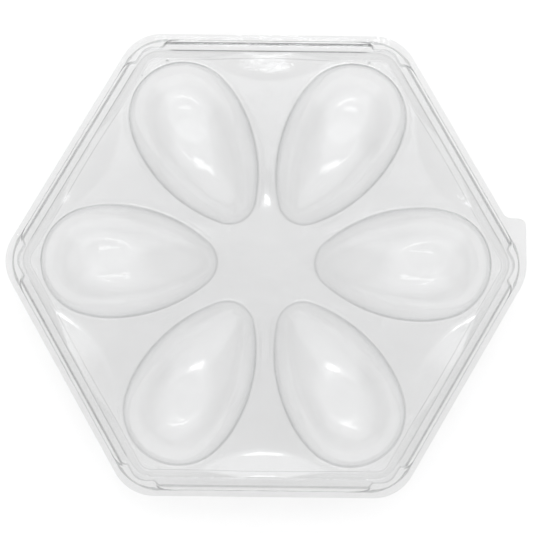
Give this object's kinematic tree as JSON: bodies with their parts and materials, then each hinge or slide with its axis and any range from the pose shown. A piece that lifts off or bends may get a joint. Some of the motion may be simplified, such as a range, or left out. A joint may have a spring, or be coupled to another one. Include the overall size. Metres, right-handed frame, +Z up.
{
  "type": "egg carton",
  "caption": "Clear hexagonal egg carton: a thermoformed tray with radial half-egg cups and a lift-off lid with matching domes and a pull tab.",
  "frame": {"origin": "middle of the hexagon at the height of the flats the cups stand on", "axes": "+Z up, in the direction the lid lifts off; +X towards the corner that has the pull tab; +Y across the flats, towards the tab's side of that corner"},
  "size_m": [0.2712, 0.241, 0.0577],
  "materials": {
    "tray_plastic": "clear colourless PET sheet, glossy, with faint forming marks",
    "lid_plastic": "clear colourless PET sheet, glossy, with faint forming marks"
  },
  "bodies": {
    "tray": {"tray": "tray_plastic"},
    "lid": {"lid": "lid_plastic"}
  },
  "joints": [
    {"name": "lid_lift", "type": "slide", "parent": "tray", "child": "lid", "axis": [0, 0, 1], "range_m": [0, 0.08]}
  ]
}
